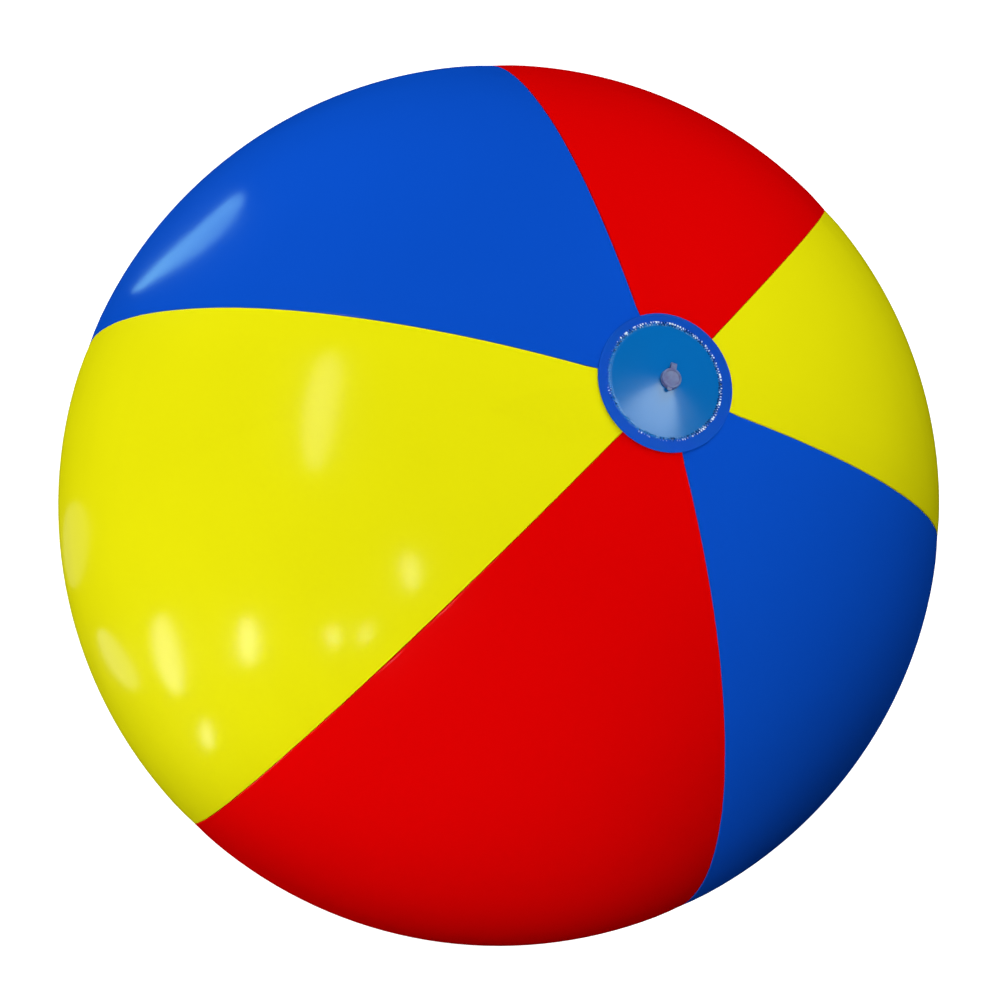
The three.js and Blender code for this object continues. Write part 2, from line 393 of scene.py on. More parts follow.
def panel_mesh(name, number, seed):
    bm = bmesh.new()
    start = bm.verts.new((LANDING_RADIUS, 0, panel_low.z))
    sweep = pi - 2 * asin(LANDING_RADIUS / RADIUS)
    bmesh.ops.spin(bm, geom=[start], cent=CENTRE, axis=(0, -1, 0), angle=sweep, steps=ROWS)
    for end in (min(bm.verts, key=lambda v: v.co.z), max(bm.verts, key=lambda v: v.co.z)):
        grown = bmesh.ops.extrude_vert_indiv(bm, verts=[end])["verts"]
        bmesh.ops.translate(bm, vec=(-LANDING_WIDTH, 0, 0), verts=grown)
    bmesh.ops.spin(
        bm, geom=bm.verts[:] + bm.edges[:], cent=(0, 0, 0), axis=(0, 0, 1),
        angle=PANEL_WIDTH, steps=COLUMNS,
    )
    for normal in SEAM_NORMALS:
        for away in ROW_CUTS:
            bmesh.ops.bisect_plane(
                bm, geom=bm.verts[:] + bm.edges[:] + bm.faces[:], dist=0.0001 * MM,
                plane_co=normal * away, plane_no=normal, clear_inner=away == HALF_GAP,
            )
    face_outwards(bm, lambda face: face.normal.dot(face.calc_center_median() - CENTRE) < 0)
    cut = seam_edges(bm)
    for vert in bm.verts:
        outward = (vert.co - CENTRE).normalized()
        if abs(vert.co.z - CENTRE.z) < LANDING_HEIGHT - 0.01 * MM:
            vert.co -= outward * seam_depth(vert.co, seed)
    fins = bmesh.ops.extrude_edge_only(bm, edges=cut)["geom"]
    shrink = 1 - FIN_DEPTH / RADIUS
    bmesh.ops.scale(
        bm, vec=(shrink,) * 3, space=Matrix.Translation(-CENTRE),
        verts=[part for part in fins if isinstance(part, bmesh.types.BMVert)],
    )
    stray(bm, number)
    turn_back = Matrix.Rotation(number * PANEL_WIDTH, 3, "Z")
    bmesh.ops.rotate(bm, cent=(0, 0, 0), matrix=turn_back, verts=bm.verts[:])
    piece = make_object(bm, name, smooth_angle=60)
    thicken(piece, FILM)
    return piece


print("panel grid:", ROWS, "by", COLUMNS, "steps, and", len(ROW_CUTS), "cuts beside each seam")

# %% [markdown]
# ## Six panels in three colours
# The colours run yellow, red, blue and again, so the same colour lies opposite itself. All six
# ride the ball, because nothing moves between them once they are welded.

# %% Make the six panels
COLOUR_ORDER = ("yellow", "red", "blue")
PANELS = 6
for place in range(PANELS):
    colour = COLOUR_ORDER[place % 3]
    number = 1 + place // 3
    panel = panel_mesh(f"{colour}_panel_{number}", place, seed=3.7 * place)
    panel.data.materials.append(films[colour])
    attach(panel, "ball")
    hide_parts(f"panel_{colour}_{number}")
print("panels:", PANELS, "with", len(panel.data.polygons), "faces each")

# %% [markdown]
# ## The weld round a disc
# A disc of blue film is welded over the panel tips by a ring-shaped tool with a knurled face.
# The knurl leaves two rows of tiny teeth, one row half a tooth on from the other. The tool is
# never quite level, so some stretches are pressed deeper than others. The colour of the teeth
# carries painted glints, nearly white on the crests, and painted shade, nearly black in the
# hollows and along some stretches. Three small functions say this: how hard the tool pressed
# and how bright the painted glints are, what its tooth left, and which stretches lean to
# painted glints and which to painted shade.

# %% Weld relief, painted glints and painted shade
WELD_RADIUS = 40.2 * MM
WELD_WIDTH = 2.8 * MM
WELD_CENTRE = Vector((-1.0 * MM, 0.6 * MM, 0))     # the weld ring sits a little off the middle
WELD_TEETH = 130
# The painted glints on the weld are brightest here too.
HARDEST_AND_BRIGHTEST = radians(35)           # where round the ring the tool pressed hardest


def weld_press_and_glint(place):
    """How hard the tool pressed at a place round the ring, and how bright its painted glints are, from
    0 to about 1.
    """
    angle = atan2(place.y, place.x)
    patches = noise.noise(Vector((3.2 * cos(angle), 3.2 * sin(angle), 2.0)))
    grain = noise.noise(Vector((26 * cos(angle), 26 * sin(angle), 5.0)))
    return min(max(0.5 + 0.36 * cos(angle - HARDEST_AND_BRIGHTEST) + 0.45 * patches + 0.5 * grain, 0), 1.1)


def weld_tooth(place):
    """The knurl's pattern at a place: 1 on a tooth's crest, -1 in a hollow, 0 off the weld."""
    from_ring = place - WELD_CENTRE
    angle = atan2(from_ring.y, from_ring.x)
    wander = 0.3 * MM * noise.noise(Vector((5 * cos(angle), 5 * sin(angle), 1)))
    across = (hypot(from_ring.x, from_ring.y) - WELD_RADIUS - wander) / (WELD_WIDTH / 2)
    if abs(across) >= 1:
        return 0
    row = 1 if across > 0 else -1
    # Uneven noise that breaks up both the teeth and their painted glints and shade.
    uneven_teeth = noise.noise(from_ring * 620) + 0.5 * noise.noise(from_ring * 250)
    return (0.7 * cos(WELD_TEETH * angle) * row + 1.4 * uneven_teeth) * sin(pi * abs(across)) ** 0.5


def weld_glint_lean(place):
    """Which way the painted marks lean at a place: above 0 mostly painted glints, below 0 mostly
    painted shade.
    """
    from_ring = place - WELD_CENTRE
    angle = atan2(from_ring.y, from_ring.x)
    outer = 0.3 if hypot(from_ring.x, from_ring.y) > WELD_RADIUS else -0.45
    return outer + 1.1 * noise.noise(Vector((7 * cos(angle), 7 * sin(angle), 9)))


print("teeth round the weld:", WELD_TEETH)

# %% [markdown]
# ## The shape of a disc
# The disc is one chain of points spun round the axis. Inside the weld, air lifts the valve's
# disc into a shallow cone; outside it, the free edge of the film curls up slightly. The knurl is
# pressed into the mesh, because a bump alone would vanish from the outline. Each point's painted
# glint, above 0, and painted shade, below 0, is kept on the mesh as an attribute for the material.

# %% Shape of a disc
WELD_DEPTH = 0.4 * MM
DISC_STEPS = WELD_TEETH * 4
EDGE_CURL = 0.35 * MM
CURL_WIDTH = 1.6 * MM
CONE_START = 38.6 * MM          # where the lift of the cone begins, just inside the weld
HOLE_RADIUS = 6 * MM
# The attribute that holds the weld's painted glints and painted shade.
GLINT_AND_SHADE_LAYER = "painted_glint_and_shade"


def disc_profile(hole, rise):
    """Radius, lift and curl of the disc's outer face, from the middle to the curled edge."""
    radii = [hole + (37.3 * MM - hole) * step / 22 for step in range(23)]
    radii += [37.65 * MM + 0.35 * MM * step for step in range(18)]
    radii += [44.4 * MM + 0.8 * MM * step for step in range(4)]
    radii += [DISC_RADIUS - 0.4 * MM, DISC_RADIUS]
    points = []
    for radius in radii:
        slope = max(CONE_START - radius, 0) / (CONE_START - hole) if rise else 0
        curl = EDGE_CURL * max(0, (radius - DISC_RADIUS + CURL_WIDTH) / CURL_WIDTH) ** 2
        points.append((radius, rise * slope, curl))
    return points


def disc_mesh(name, face_z, side, hole, rise):
    """Spins and marks a disc; side is +1 if it looks up and -1 if it looks down."""
    bm = bmesh.new()
    profile = disc_profile(hole, rise)
    curl_side = 1 if side > 0 else 0
    chain(bm, [(radius, 0, face_z + side * lift + curl_side * curl) for radius, lift, curl in profile])
    turn(bm, DISC_STEPS)
    face_outwards(bm, lambda face: face.normal.z * side < 0)
    painted_glint_and_shade = bm.verts.layers.float.new(GLINT_AND_SHADE_LAYER)
    for vert in bm.verts:
        tooth, press_and_glint = weld_tooth(vert.co), weld_press_and_glint(vert.co)
        relief = WELD_DEPTH * (0.5 + 0.5 * press_and_glint) * tooth
        vert.co.z += relief if side > 0 else abs(min(relief, 0))
        # Painted glints on the crests and painted shade in the hollows and dark stretches.
        vert[painted_glint_and_shade] = (tooth + weld_glint_lean(vert.co) * (tooth != 0)) * press_and_glint
    piece = make_object(bm, name)
    thicken(piece, FILM)
    return piece


RISE = disc_high.z - (disc_low.z + FILM)
print("disc rises", round(RISE / MM, 1), "mm to its hole")

# %% [markdown]
# ## The discs' film
# The disc is sky blue film over the hollow of the ball. Outside the weld it lies double on the
# panels' tips and looks a deeper blue. The change follows the ragged edge of the weld, so the
# distance from the weld's centre is pushed about by a noise pattern before it picks the colour.
# The attribute on the mesh then adds painted glints, nearly white, on the crests and painted
# shade, nearly black, in the hollows.

# %% Film of the discs
INNER_BLUE = (0.0012, 0.137, 0.455, 1)
OUTER_BLUE = (0.006, 0.068, 0.485, 1)
DRIFT_BLUE = (0.004, 0.12, 0.38, 1)
# Painted shade for the knurl's hollows and painted glints for its crests.
PAINTED_SHADE = (0.0, 0.02, 0.12, 1)
PAINTED_GLINT = (0.70, 0.86, 1.0, 1)


def disc_film():
    material, tree, shader = new_material("sky blue disc film")
    space = object_coordinates(tree, scale=(1, 1, 0), centre=WELD_CENTRE)
    length = tree.nodes.new("ShaderNodeVectorMath")
    length.operation = "LENGTH"
    tree.links.new(space, length.inputs[0])
    ragged = node(tree, "ShaderNodeMath")
    ragged.operation = "MULTIPLY_ADD"
    tree.links.new(cloud(tree, space, 300.0, detail=3.0), ragged.inputs[0])
    ragged.inputs[1].default_value = 1.6 * MM
    tree.links.new(length.outputs["Value"], ragged.inputs[2])
    outside = spread(tree, ragged.outputs[0], 0, 1, WELD_RADIUS, WELD_RADIUS + 1.4 * MM)
    colour = mix(tree, outside, INNER_BLUE, OUTER_BLUE)
    drift = cloud(tree, space, 40.0, detail=2.0)
    colour = mix(tree, spread(tree, drift, 0, 0.2), colour, DRIFT_BLUE)
    # Painted glints whiten the crests and painted shade darkens the hollows, read from the mesh.
    glint_and_shade_mark = tree.nodes.new("ShaderNodeAttribute")
    glint_and_shade_mark.attribute_name = GLINT_AND_SHADE_LAYER
    crest = spread(tree, glint_and_shade_mark.outputs["Fac"], 0, 1, 0.15, 0.6)
    hollow = spread(tree, glint_and_shade_mark.outputs["Fac"], 0.9, 0, -0.5, -0.12)
    colour = mix(tree, hollow, colour, PAINTED_SHADE)
    colour = mix(tree, crest, colour, PAINTED_GLINT)
    tree.links.new(colour, shader.inputs["Base Color"])
    tree.links.new(spread(tree, cloud(tree, space, 900.0), 0.15, 0.20), shader.inputs["Roughness"])
    tree.links.new(spread(tree, outside, 0.5, 0.02, 0, 1), shader.inputs["Specular IOR Level"])
    bump(tree, shader, cloud(tree, space, 700.0, detail=2.0), 0.01 * MM)
    return material


disc_material = disc_film()
print("disc film:", disc_material.name)

# %% [markdown]
# ## The two discs
# The upper disc has the hole for the valve and the cone round it. The lower one is flat and
# whole, because the ball stands on it, so its knurl is pressed upwards and never stands below
# the floor.

# %% Make the two discs
top_disc = disc_mesh("valve_disc", disc_low.z + FILM, 1, HOLE_RADIUS, RISE)
bottom_disc = disc_mesh("plain_disc", 0, -1, 0, 0)
for piece, cad_node in ((top_disc, "top_disc"), (bottom_disc, "bottom_disc")):
    piece.data.materials.append(disc_material)
    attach(piece, "ball")
    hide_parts(cad_node)
print("discs:", len(top_disc.data.polygons), "faces on the valve's disc")

# %% [markdown]
# ## The valve's vinyl
# The valve is moulded in one soft, milky vinyl that lets a little light in. So its material has
# some subsurface scattering, a base colour that drifts between two greyed lilacs, and a thin
# smoother coat, like the skin left by a polished mould.

# %% Valve vinyl
PALE_LILAC = (0.14, 0.19, 0.37, 1)
DEEP_LILAC = (0.11, 0.10, 0.24, 1)


def valve_vinyl():
    material, tree, shader = new_material("milky valve vinyl")
    space = object_coordinates(tree)
    drift = cloud(tree, space, 260.0, detail=3.0)
    colour = mix(tree, spread(tree, drift, 0, 1), PALE_LILAC, DEEP_LILAC)
    tree.links.new(colour, shader.inputs["Base Color"])
    tree.links.new(spread(tree, cloud(tree, space, 1500.0), 0.30, 0.42), shader.inputs["Roughness"])
    shader.inputs["Subsurface Weight"].default_value = 0.35
    shader.inputs["Subsurface Radius"].default_value = (0.5, 0.7, 1.0)
    shader.inputs["Subsurface Scale"].default_value = 1.5 * MM
    shader.inputs["Coat Weight"].default_value = 0.25
    shader.inputs["Coat Roughness"].default_value = 0.2
    bump(tree, shader, cloud(tree, space, 2200.0), 0.01 * MM)
    return material


valve_material = valve_vinyl()
print("valve vinyl:", valve_material.name)

# %% [markdown]
# ## Helpers for the valve
# Its pieces are small round mouldings. One helper spins an outline of radius and height into a
# closed shape, and the other finishes it: soft edges, material, the body it moves with and the
# plain solid it stands in for.

# %% Helpers for the valve
VALVE_STEPS = 72
MOULD_RADIUS = 0.12 * MM


def turned(outline, closed=True):
    """A turned shape; an outline that isn't closed has to start and end on the axis."""
    bm = bmesh.new()
    verts = chain(bm, [(radius, 0, z) for radius, z in outline])
    if closed:
        bm.edges.new((verts[-1], verts[0]))
    turn(bm, VALVE_STEPS)
    bmesh.ops.recalc_face_normals(bm, faces=bm.faces[:])
    return bm


def finish_valve_piece(bm, name, cad_node, body):
    """Makes the object, rounds its edges and says what it moves with and stands in for."""
    piece = make_object(bm, name)
    soften_edges(piece, MOULD_RADIUS)
    piece.data.materials.append(valve_material)
    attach(piece, body)
    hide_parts(cad_node)
    return piece


print("steps round a valve piece:", VALVE_STEPS)

# %% [markdown]
# ## The stem
# This is the tube that is blown into. It is pulled up to blow and pushed down into the ball to
# store, so it rides a body of its own. It has a rim at the mouth, a thicker foot inside the
# ball for the skirt to hold, and a small chamfer where the stopper goes in.

# %% Stem
stem_low, stem_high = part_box("valve_stem")
BORE = 3.9 * MM
STEM_RADIUS = 5.6 * MM
RIM_RADIUS = 6.9 * MM
RIM_THICKNESS = 1.2 * MM
FOOT_RADIUS = stem_high.x
rim_top = stem_high.z
rim_bottom = rim_top - RIM_THICKNESS
foot_top = stem_low.z + RIM_THICKNESS
stem = finish_valve_piece(
    turned([
        (BORE, stem_low.z), (FOOT_RADIUS, stem_low.z), (FOOT_RADIUS, foot_top),
        (STEM_RADIUS, foot_top + 0.8 * MM), (STEM_RADIUS, rim_bottom), (RIM_RADIUS, rim_bottom),
        (RIM_RADIUS, rim_top), (BORE + 0.3 * MM, rim_top), (BORE, rim_top - 0.3 * MM),
    ]),
    "blow_stem", "valve_stem", "stem",
)
print("stem length", round((stem_high.z - stem_low.z) / MM, 1), "mm")

# %% [markdown]
# ## The flange and its collar
# A ring is welded under the disc round the hole, and a collar hangs from it to hold the skirt.
# Its upper face follows the cone of the disc at an even distance, so both are worked out by the
# same line.

# %% Flange and collar
base_low, base_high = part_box("valve_base")
CONE_RADIUS = 40 * MM           # where the straight line of the cone would meet the flat
FLANGE_RADIUS = base_high.x
FLANGE_THICKNESS = 0.8 * MM
FLANGE_DROP = 0.6 * MM
COLLAR_INNER = 8.9 * MM
COLLAR_OUTER = 9.9 * MM


def cone_height(radius):
    """Height of the disc's outer face at a radius."""
    return disc_low.z + FILM + RISE * (CONE_RADIUS - radius) / (CONE_RADIUS - HOLE_RADIUS)


def flange_top(radius):
    return cone_height(radius) - FLANGE_DROP


collar_foot = base_low.z
finish_valve_piece(
    turned([
        (HOLE_RADIUS, flange_top(HOLE_RADIUS)),
        (FLANGE_RADIUS, flange_top(FLANGE_RADIUS)),
        (FLANGE_RADIUS, flange_top(FLANGE_RADIUS) - FLANGE_THICKNESS),
        (COLLAR_OUTER, flange_top(COLLAR_OUTER) - FLANGE_THICKNESS),
        (COLLAR_OUTER, collar_foot),
        (COLLAR_INNER, collar_foot),
        (COLLAR_INNER, flange_top(COLLAR_INNER) - FLANGE_THICKNESS),
        (HOLE_RADIUS, flange_top(HOLE_RADIUS) - FLANGE_THICKNESS),
    ]),
    "flange_ring", "valve_base", "ball",
)
print("flange", round(2 * FLANGE_RADIUS / MM, 1), "mm across")

# %% [markdown]
# ## The skirt
# A thin cone of film joins the collar to the foot of the stem, and rolls inside out when the
# stem is pulled. One end moves with the ball and the other with the stem. It is made as one
# piece, with enough rows to bend smoothly.

# %% Skirt
skirt_low, skirt_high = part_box("valve_skirt")
skirt_wall = 0.4 * MM
stem_skirt_low = 7.5 * MM
stem_skirt_high = 8.4 * MM
bm = bmesh.new()
skirt_steps = 14
chain(bm, [
    (
        stem_skirt_low + (stem_skirt_high - stem_skirt_low) * step / skirt_steps,
        0,
        skirt_low.z + (skirt_high.z - skirt_low.z) * step / skirt_steps,
    )
    for step in range(skirt_steps + 1)
])
turn(bm, VALVE_STEPS)
face_outwards(bm, lambda face: face.normal.dot(Vector((*face.calc_center_median().xy, 0))) < 0)
skirt = make_object(bm, "soft_skirt")
modifier = skirt.modifiers.new("thickness", "SOLIDIFY")
modifier.thickness = skirt_wall
modifier.offset = 0
skirt.data.materials.append(valve_material)
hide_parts("valve_skirt")
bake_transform(skirt)

print("skirt", round((skirt_high.z - skirt_low.z) / MM, 1), "mm tall")

# %% [markdown]
# ## The check flap
# A thin leaf shuts the inner end of the bore when nobody blows. It hangs on a short tab at one
# side, which is drawn out of the leaf's own rim by extruding the few faces that look that way.

# %% Check flap
flap_low, flap_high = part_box("check_flap")
TAB_HALF_WIDTH = 2 * MM
flap_radius = flap_high.y
bm = turned([
    (0, flap_low.z), (flap_radius, flap_low.z), (flap_radius, flap_high.z), (0, flap_high.z),
], closed=False)
tab_faces = []
for face in bm.faces:
    middle = face.calc_center_median()
    if abs(face.normal.z) < 0.1 and middle.y < 0 and abs(middle.x) < TAB_HALF_WIDTH:
        tab_faces.append(face)
grown = bmesh.ops.extrude_face_region(bm, geom=tab_faces)["geom"]
bmesh.ops.delete(bm, geom=tab_faces, context="FACES_ONLY")
for part in grown:
    if isinstance(part, bmesh.types.BMVert):
        part.co.y = flap_low.y
finish_valve_piece(bm, "check_leaf", "check_flap", "flap")
print("leaf", round(2 * flap_radius / MM, 1), "mm across, tab faces:", len(tab_faces))

# %% [markdown]
# ## The plug
# The cap has a raised rim round a shallow dish, and a tapered stopper below that wedges in the
# bore. A small lip at one side lets a fingernail lift it. The lip is drawn out of the cap's side
# in two steps and narrowed at the second, so its end is blunt and not square.

# %% Plug with its cap
plug_low, plug_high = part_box("valve_plug")
CAP_RADIUS = plug_high.x
CAP_BOTTOM = rim_top + 0.3 * MM
CAP_TOP = plug_high.z
LIP_REACH = 2 * MM
LIP_HALF_WIDTH = 1.7 * MM
STOPPER_TIP = plug_low.z
bm = turned([
    (0, STOPPER_TIP), (2.2 * MM, STOPPER_TIP), (2.6 * MM, STOPPER_TIP + 0.4 * MM),
    (3.6 * MM, CAP_BOTTOM), (CAP_RADIUS, CAP_BOTTOM), (CAP_RADIUS, CAP_BOTTOM + 0.4 * MM),
    (CAP_RADIUS, CAP_TOP - 0.4 * MM), (CAP_RADIUS - 0.35 * MM, CAP_TOP),
    (CAP_RADIUS - 1.3 * MM, CAP_TOP), (CAP_RADIUS - 1.7 * MM, CAP_TOP - 0.35 * MM),
    (0, CAP_TOP - 0.35 * MM),
], closed=False)
lip_faces = []
for face in bm.faces:
    middle = face.calc_center_median()
    on_side = abs(face.normal.z) < 0.1 and hypot(middle.x, middle.y) > CAP_RADIUS - 0.1 * MM
    if on_side and middle.y < 0 and abs(middle.x) < LIP_HALF_WIDTH:
        if CAP_BOTTOM + 0.4 * MM < middle.z < CAP_TOP - 0.4 * MM:
            lip_faces.append(face)
for share in (0.6, 0.4):
    grown = bmesh.ops.extrude_face_region(bm, geom=lip_faces)["geom"]
    bmesh.ops.delete(bm, geom=lip_faces, context="FACES_ONLY")
    lip_faces = [part for part in grown if isinstance(part, bmesh.types.BMFace)]
    for vert in {v for face in lip_faces for v in face.verts}:
        vert.co.y -= LIP_REACH * share
        if share < 0.5:
            vert.co.x *= 0.75
bmesh.ops.recalc_face_normals(bm, faces=bm.faces[:])
plug = finish_valve_piece(bm, "stopper_cap", "valve_plug", "plug")
print("cap", round(2 * CAP_RADIUS / MM, 1), "mm across")

# %% [markdown]
# ## The strap
# A flat strap ties the plug to the stem's rim. It is a folded strip: out along the rim, round
# half a turn, and back under the cap. The fold is where it bends when the plug swings, so it is
# a chain of short steps, pulled sideways into a band and given its thickness afterwards.

# %% Strap
strap_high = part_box("plug_strap")[1]
LUG_START = 6.3 * MM
LEG_STEPS = 6
FOLD_STEPS = 10
BAND_COLUMNS = 4
STRAP_THICKNESS = 0.8 * MM
STRAP_HALF_WIDTH = strap_high.x
lower_leg = rim_top - 0.2 * MM - STRAP_THICKNESS / 2
upper_leg = strap_high.z - STRAP_THICKNESS / 2
FOLD = Vector((0, strap_high.y - 1.0 * MM, (lower_leg + upper_leg) / 2))
FOLD_RADIUS = (upper_leg - lower_leg) / 2
fold_reach = FOLD.y - LUG_START
points = [
    (-STRAP_HALF_WIDTH, LUG_START + fold_reach * step / LEG_STEPS, lower_leg)
    for step in range(LEG_STEPS)
]
for step in range(FOLD_STEPS + 1):
    angle = -pi / 2 + pi * step / FOLD_STEPS
    points.append(
        (-STRAP_HALF_WIDTH, FOLD.y + FOLD_RADIUS * cos(angle), FOLD.z + FOLD_RADIUS * sin(angle))
    )
points += [
    (-STRAP_HALF_WIDTH, FOLD.y - fold_reach * step / LEG_STEPS, upper_leg)
    for step in range(1, LEG_STEPS + 1)
]
bm = bmesh.new()
chain(bm, points)
edge_loop = bm.edges[:]
for _ in range(BAND_COLUMNS):
    grown = bmesh.ops.extrude_edge_only(bm, edges=edge_loop)["geom"]
    edge_loop = [part for part in grown if isinstance(part, bmesh.types.BMEdge)]
    moving = [part for part in grown if isinstance(part, bmesh.types.BMVert)]
    bmesh.ops.translate(bm, vec=(2 * STRAP_HALF_WIDTH / BAND_COLUMNS, 0, 0), verts=moving)
face_outwards(bm, lambda face: face.normal.z > 0)
strap = make_object(bm, "fold_strap")
modifier = strap.modifiers.new("thickness", "SOLIDIFY")
modifier.thickness = STRAP_THICKNESS
modifier.offset = 0
soften_edges(strap, MOULD_RADIUS)
strap.data.materials.append(valve_material)
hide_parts("plug_strap")
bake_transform(strap)
print("strap fold radius", round(FOLD_RADIUS / MM, 2), "mm")

# %% [markdown]
# ## Camera
# The camera stands just under one metre from the ball's middle, so close that less than half
# of the ball shows and the panels widen strongly towards the outline. It looks down from beside
# the valve, and it is rolled so that the valve sits above and to the right of the middle. A
# small shift of the lens centres the ball without turning the camera.

# %% Camera
def direction(azimuth, elevation):
    """A unit vector from two angles in degrees."""
    a, e = radians(azimuth), radians(elevation)
    return Vector((cos(e) * cos(a), cos(e) * sin(a), sin(e)))


CAMERA_DISTANCE = 1.9 * RADIUS
CAMERA_ROLL = -53.67            # degrees
LENS = 25.58                    # millimetres, on a sensor 36 mm wide
LENS_SHIFT = (0.0023, 0.0044)
toward_camera = direction(-128.56, 73.94)
forward = -toward_camera
level = forward.cross(Vector((0, 0, 1))).normalized()
upright = level.cross(forward)
roll = radians(CAMERA_ROLL)
camera_up = cos(roll) * upright + sin(roll) * level
camera_right = forward.cross(camera_up)
camera_data = bpy.data.cameras.new("camera")
camera_data.lens = LENS
camera_data.sensor_width = 36
camera_data.shift_x, camera_data.shift_y = LENS_SHIFT
camera = bpy.data.objects.new("camera", camera_data)
bpy.context.scene.collection.objects.link(camera)
camera.matrix_world = Matrix((
    (camera_right.x, camera_up.x, -forward.x, 0),
    (camera_right.y, camera_up.y, -forward.y, 0),
    (camera_right.z, camera_up.z, -forward.z, 0),
    (0, 0, 0, 1),
))
camera.location = CENTRE + toward_camera * CAMERA_DISTANCE
bpy.context.scene.camera = camera
print("camera", [round(v, 3) for v in camera.location])

# %% [markdown]
# ## A helper for lamps
# Every light is an area lamp, as in a studio. A lamp that only shapes the ball is kept out of
# the gloss, and a lamp that is only seen in the gloss is kept out of the diffuse light. That
# way brightness and highlights are set apart from each other.

# %% Helper for lamps
def lamp(name, place, aim, size, watts, shape="DISK", size_y=None, glossy=True, diffuse=True):
    """An area lamp that looks at a place and can't be seen itself."""
    data = bpy.data.lights.new(name, "AREA")
    data.shape = shape
    data.size = size
    if size_y:
        data.size_y = size_y
    data.energy = watts
    light = bpy.data.objects.new(name, data)
    bpy.context.scene.collection.objects.link(light)
    light.location = place
    light.rotation_mode = "QUATERNION"
    light.rotation_quaternion = (aim - place).to_track_quat("-Z", "Y")
    light.visible_camera = False
    light.visible_glossy = glossy
    light.visible_diffuse = diffuse
    data.cycles.use_multiple_importance_sampling = glossy
    return light


print("lamp helper ready")

# %% [markdown]
# ## Soft light on the ball
# The ball is lit broadly from the left and from above, with gentler light from close by to keep
# the front even, and it falls away at the lower right. A narrow fill stands behind and beneath,
# where it can't reach the side that the camera sees, so the far side isn't black. Each lamp is
# placed by how far it stands from the line to the camera, and how far round that line.

# %% Soft light on the ball
SOFT_LIGHTS = (        # name, distance and width in radii, tilt from the camera, turn, share
    ("at the camera", 2.2, 1.1, 0, 0, 0.42),
    ("near low", 2.2, 1.1, 30, 255, 0.58),
    ("near right", 2.2, 1.1, 30, 300, 0.12),
    ("far low", 12, 6, 90, 222, 0.12),
    ("far left", 12, 6, 90, 165, 1.39),
    ("far top", 12, 6, 75, 60, 1.07),
    ("fill behind", 12, 1.2, 152, 312, 0.8),
)
for name, distance, width, tilt, around, share in SOFT_LIGHTS:
    tilt, around = radians(tilt), radians(around)
    sideways = cos(around) * camera_right + sin(around) * camera_up
    place = CENTRE + (cos(tilt) * toward_camera + sin(tilt) * sideways) * distance * RADIUS
    gap = (distance - 1) * RADIUS
    lamp(
        name, place, CENTRE, size=width * RADIUS, watts=4 * pi * gap**2 * share, glossy=False,
    )

print("soft lamps:", len(SOFT_LIGHTS))

# %% [markdown]
# ## Where a highlight's lamp has to stand
# A highlight on a glossy ball is a mirror image. So it is easier to choose its place on the ball
# and let geometry find the lamp: follow the line of sight to the skin, mirror it in the skin's
# normal, and put the lamp some way along. The cone of the disc has its own normal.

# %% Helpers for highlights
def mirrored(skin, normal, reach):
    """Where a lamp has to be for its reflection to fall on that place of the skin."""
    sight = (skin - camera.location).normalized()
    return skin + (sight - 2 * sight.dot(normal) * normal) * reach


def on_ball(azimuth, latitude):
    """A place on the ball and its normal."""
    normal = direction(azimuth, latitude)
    return CENTRE + RADIUS * normal, normal


def on_cone(azimuth, radius):
    """A place on the cone of the valve's disc and its normal."""
    slope = atan2(RISE, CONE_START - HOLE_RADIUS)
    outward = direction(azimuth, 0)
    normal = sin(slope) * outward + cos(slope) * Vector((0, 0, 1))
    return outward * radius + Vector((0, 0, cone_height(radius))), normal


def streak(name, ends, sides, reach, radiance, colour):
    """A long lamp whose reflection runs between two places and is as wide as two others."""
    one, other = (mirrored(*end, reach) for end in ends)
    left, right = (mirrored(*side, reach) for side in sides)
    length, breadth = (one - other).length, (left - right).length
    place, aim = (one + other) / 2, (ends[0][0] + ends[1][0]) / 2
    watts = 4 * length * breadth * radiance
    light = lamp(name, place, aim, length, watts, "ELLIPSE", breadth, diffuse=False)
    light.data.color = colour
    back = (place - aim).normalized()
    along = (other - one).normalized()
    across = back.cross(along).normalized()
    along = across.cross(back)
    light.rotation_quaternion = Matrix((along, across, back)).transposed().to_quaternion()
    return light


print("highlight helpers ready")

# %% [markdown]
# ## Highlights of lamps and small windows
# A ball outdoors or in a hall mirrors whatever is bright round it: a few lamps, and windows that
# shrink to slivers towards the outline. Each one here is a long oval lamp. Oval and not square,
# because slightly rough film rounds off the corners of everything that it mirrors.

# %% Highlights
WHITE = (1, 1, 1)
STREAKS = (  # two ends on the ball (azimuth, latitude), width in degrees, reach in metres, radiance
    ("tall glow", (-171.4, 64.3), (-151.2, 62.3), 2.6, 0.9, 2.1),
    ("left edge", (-158.5, 29), (-150, 29.3), 11.0, 0.8, 0.12),
    ("low window", (-142, 33.6), (-137.4, 31), 7.0, 0.8, 0.32),
    ("side window", (-141.3, 43.4), (-133, 39.9), 3.4, 0.9, 1.6),
    ("lamp", (-136, 52.1), (-131.1, 49.6), 1.6, 1.0, 4.6),
    ("small lamp", (-127.8, 57.5), (-127, 58.1), 1.4, 1.0, 8.0),
    ("second lamp", (-124.8, 59.8), (-124, 60.4), 1.4, 1.0, 7.0),
    ("pale card", (-131.4, 66.4), (-124.8, 65.2), 1.3, 1.0, 4.2),
    ("low spot", (-128.4, 41.4), (-126, 38.8), 1.2, 0.9, 1.8),
)
for name, one, other, width, reach, radiance in STREAKS:
    azimuth, latitude = (one[0] + other[0]) / 2, (one[1] + other[1]) / 2
    ends = [on_ball(*one), on_ball(*other)]
    sides = [on_ball(azimuth, latitude - width / 2), on_ball(azimuth, latitude + width / 2)]
    streak(name, ends, sides, reach, radiance, WHITE)
